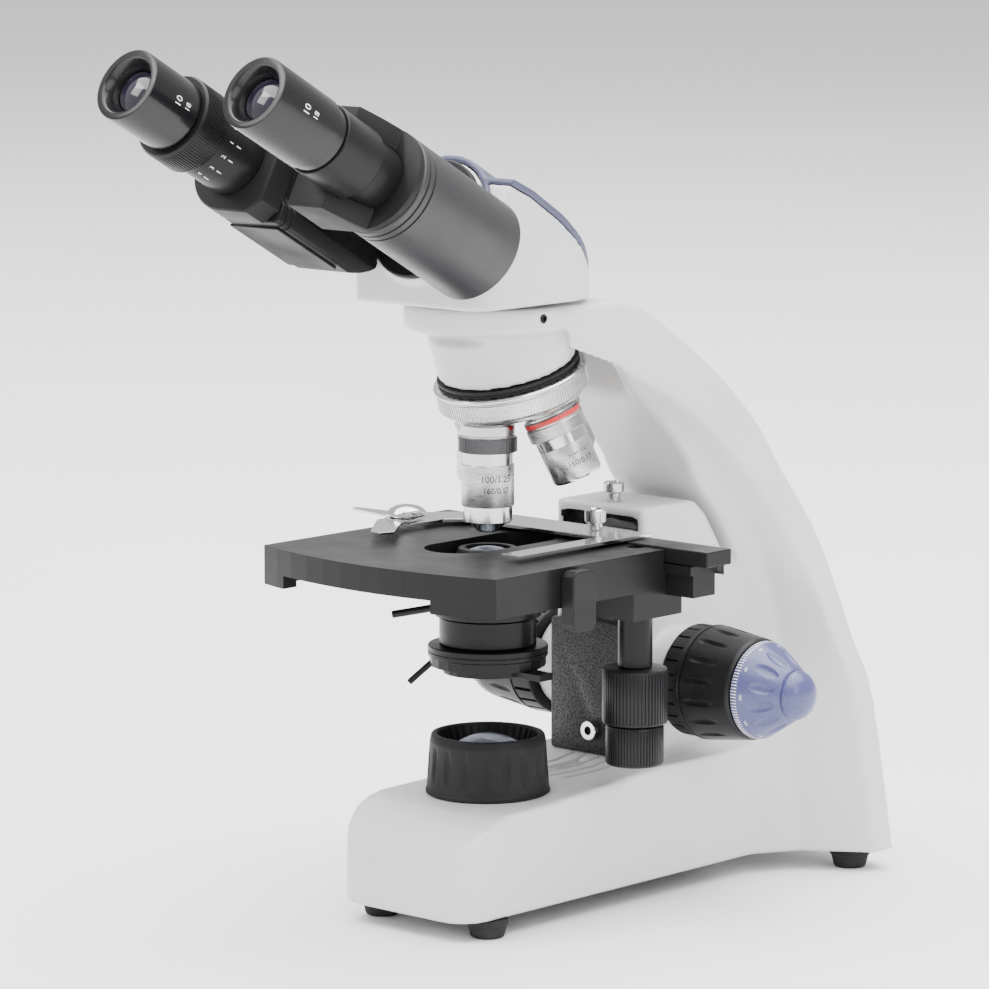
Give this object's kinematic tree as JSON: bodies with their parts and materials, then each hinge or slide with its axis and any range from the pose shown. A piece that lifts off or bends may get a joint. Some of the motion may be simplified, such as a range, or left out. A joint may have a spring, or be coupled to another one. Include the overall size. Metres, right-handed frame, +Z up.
{
  "type": "compound microscope",
  "caption": "Binocular laboratory microscope with an arched stand, revolving nosepiece, mechanical stage, condenser and a lamp in its base.",
  "frame": {"origin": "centre of the footprint at the surface the feet stand on", "axes": "+Z up; -Y towards the user; +X to the user's right; the optical axis stands at Y = -8.1 mm"},
  "size_m": [0.202, 0.3718, 0.368],
  "materials": {
    "white_enamel": "white powder coat, satin",
    "plate_steel": "dull plated",
    "rubber": "matte",
    "matte_black": "matte",
    "chrome": "polished",
    "black_anodised": "black anodised, satin",
    "glass": "coated",
    "circuit_board": "solder mask",
    "satin_steel": "satin",
    "blue_plastic": "satin",
    "trim_blue_grey": "satin",
    "satin_grey": "satin grey paint"
  },
  "bodies": {
    "stand": {"stand_casting": "white_enamel", "base_plate": "plate_steel", "foot_front_left": "rubber", "foot_front_right": "rubber", "foot_rear_left": "rubber", "foot_rear_right": "rubber", "front_cover_plate": "matte_black", "front_cover_screw": "chrome", "illuminator_housing": "matte_black", "collector_lens": "glass", "led_board": "circuit_board", "dc_inlet": "matte_black", "nosepiece_mount": "matte_black"},
    "head": {"head_housing": "white_enamel", "head_trim": "trim_blue_grey", "pivot_flange": "black_anodised"},
    "right_arm": {"right_prism_housing": "satin_grey", "right_tube": "matte_black", "right_eyepiece": "black_anodised", "right_eye_lens": "glass"},
    "left_arm": {"left_prism_housing": "satin_grey", "left_arm_cover": "satin_grey", "left_tube": "matte_black", "left_eyepiece": "black_anodised", "left_eye_lens": "glass"},
    "diopter": {"diopter_ring": "black_anodised"},
    "head_lock": {"head_lock_screw": "black_anodised"},
    "nosepiece": {"nosepiece_turret": "satin_steel", "objective_100x": "satin_steel", "objective_4x": "satin_steel", "objective_10x": "satin_steel", "objective_40x": "satin_steel"},
    "spring_nose": {"nose_100x": "chrome"},
    "coarse_drive": {"coarse_shaft": "satin_steel", "coarse_knob_left": "matte_black", "coarse_knob_right": "matte_black"},
    "fine_drive": {"fine_knob_left": "blue_plastic", "fine_knob_right": "blue_plastic"},
    "tension": {"tension_collar": "matte_black"},
    "fine_slide": {"focus_slide": "satin_steel"},
    "carrier": {"stage_carrier": "black_anodised"},
    "focus_stop": {"focus_stop_screw": "chrome"},
    "stage": {"stage_plate": "black_anodised", "stage_side_bracket": "matte_black", "drive_column": "black_anodised", "x_rail": "black_anodised", "vernier_scale": "satin_steel"},
    "y_drive": {"y_drive_knob": "matte_black"},
    "x_drive": {"x_drive_knob": "matte_black"},
    "specimen_holder": {"slide_holder": "chrome", "finger_cap": "chrome", "holder_screw": "chrome"},
    "finger": {"slide_finger": "chrome"},
    "condenser": {"condenser_body": "black_anodised", "condenser_lens": "glass"},
    "condenser_focus": {"condenser_lever": "black_anodised"},
    "iris": {"iris_ring": "black_anodised"},
    "filter_tray": {"filter_holder": "black_anodised"},
    "dimmer": {"brightness_dial": "matte_black"},
    "switch": {"power_switch": "matte_black"}
  },
  "joints": [
    {"name": "head_turn", "type": "hinge", "parent": "stand", "child": "head", "pos_m": [0, -0.0081, 0.26], "axis": [0, 0, 1], "continuous": true},
    {"name": "right_tube_fold", "type": "hinge", "parent": "head", "child": "right_arm", "pos_m": [0, -0.0441, 0.2946], "axis": [0, -0.8746, 0.4848], "range_deg": [-19.5, 19.7]},
    {"name": "left_tube_fold", "type": "hinge", "parent": "head", "child": "left_arm", "pos_m": [0, -0.0441, 0.2946], "axis": [0, -0.8746, 0.4848], "range_deg": [-19.7, 19.5]},
    {"name": "diopter_turn", "type": "hinge", "parent": "left_arm", "child": "diopter", "pos_m": [-0.0352, -0.05021, 0.28358], "axis": [0, -0.8746, 0.4848], "range_deg": [-150, 150]},
    {"name": "head_lock_turn", "type": "hinge", "parent": "stand", "child": "head_lock", "pos_m": [0.03, -0.0111, 0.254], "axis": [1, 0, 0], "range_deg": [-180, 180]},
    {"name": "nosepiece_turn", "type": "hinge", "parent": "stand", "child": "nosepiece", "pos_m": [0, 0.00959, 0.21261], "axis": [0, -0.2924, 0.9563], "continuous": true},
    {"name": "spring_nose_press", "type": "slide", "parent": "nosepiece", "child": "spring_nose", "axis": [0, 0, 1], "range_m": [0, 0.0015], "stiffness_N_per_m": 400, "springref_m": -0.001},
    {"name": "coarse_turn", "type": "hinge", "parent": "stand", "child": "coarse_drive", "pos_m": [0, 0.0829, 0.0915], "axis": [1, 0, 0], "range_deg": [-210, 4.7]},
    {"name": "fine_turn", "type": "hinge", "parent": "stand", "child": "fine_drive", "pos_m": [0, 0.0829, 0.0915], "axis": [1, 0, 0], "range_deg": [-360, 360]},
    {"name": "tension_turn", "type": "hinge", "parent": "stand", "child": "tension", "pos_m": [0, 0.0829, 0.0915], "axis": [1, 0, 0], "range_deg": [-60, 60]},
    {"name": "fine_height", "type": "slide", "parent": "stand", "child": "fine_slide", "axis": [0, 0, 1], "range_m": [-0.0002, 0.0002]},
    {"name": "coarse_height", "type": "slide", "parent": "fine_slide", "child": "carrier", "axis": [0, 0, 1], "range_m": [-0.022, 0.0005]},
    {"name": "focus_stop_turn", "type": "hinge", "parent": "stand", "child": "focus_stop", "pos_m": [0, 0.0719, 0.17], "axis": [0, 0, 1], "range_deg": [-180, 180]},
    {"name": "stage_y", "type": "slide", "parent": "carrier", "child": "stage", "axis": [0, 1, 0], "range_m": [-0.0175, 0.016]},
    {"name": "y_knob_turn", "type": "hinge", "parent": "stage", "child": "y_drive", "pos_m": [0.052, 0.0259, 0.1], "axis": [0, 0, 1], "range_deg": [-222.9, 203.8]},
    {"name": "x_knob_turn", "type": "hinge", "parent": "stage", "child": "x_drive", "pos_m": [0.052, 0.0259, 0.08], "axis": [0, 0, 1], "range_deg": [-446, 446]},
    {"name": "stage_x", "type": "slide", "parent": "stage", "child": "specimen_holder", "axis": [1, 0, 0], "range_m": [-0.035, 0.035]},
    {"name": "finger_swing", "type": "hinge", "parent": "specimen_holder", "child": "finger", "pos_m": [-0.056, 0.0019, 0.161], "axis": [0, 0, 1], "range_deg": [-25, 0], "stiffness_Nm_per_rad": 0.05, "springref_deg": 17.19},
    {"name": "condenser_height", "type": "slide", "parent": "carrier", "child": "condenser", "axis": [0, 0, 1], "range_m": [-0.003, 0]},
    {"name": "condenser_lever_turn", "type": "hinge", "parent": "carrier", "child": "condenser_focus", "pos_m": [0, -0.0081, 0.13], "axis": [0, 0, 1], "range_deg": [-60.1, 0]},
    {"name": "iris_turn", "type": "hinge", "parent": "condenser", "child": "iris", "pos_m": [0, -0.0081, 0.108], "axis": [0, 0, 1], "range_deg": [-30, 45]},
    {"name": "filter_swing", "type": "hinge", "parent": "condenser", "child": "filter_tray", "pos_m": [0.0284, -0.0081, 0.104], "axis": [0, 0, 1], "range_deg": [-60, 0]},
    {"name": "dimmer_turn", "type": "hinge", "parent": "stand", "child": "dimmer", "pos_m": [-0.04, 0.0519, 0.03], "axis": [1, 0, 0], "range_deg": [0, 270]},
    {"name": "switch_rock", "type": "hinge", "parent": "stand", "child": "switch", "pos_m": [0.015, 0.1779, 0.034], "axis": [1, 0, 0], "range_deg": [-12, 0]}
  ],
  "couplings": [
    {"joint": "left_tube_fold", "follows": "right_tube_fold", "ratio": -1},
    {"joint": "coarse_height", "follows": "coarse_turn", "m_per_rad": 0.006},
    {"joint": "fine_height", "follows": "fine_turn", "m_per_rad": 0.00003183},
    {"joint": "y_knob_turn", "follows": "stage_y", "rad_per_m": 222.22},
    {"joint": "x_knob_turn", "follows": "stage_x", "rad_per_m": 222.22},
    {"joint": "condenser_lever_turn", "follows": "condenser_height", "rad_per_m": 349.08}
  ]
}
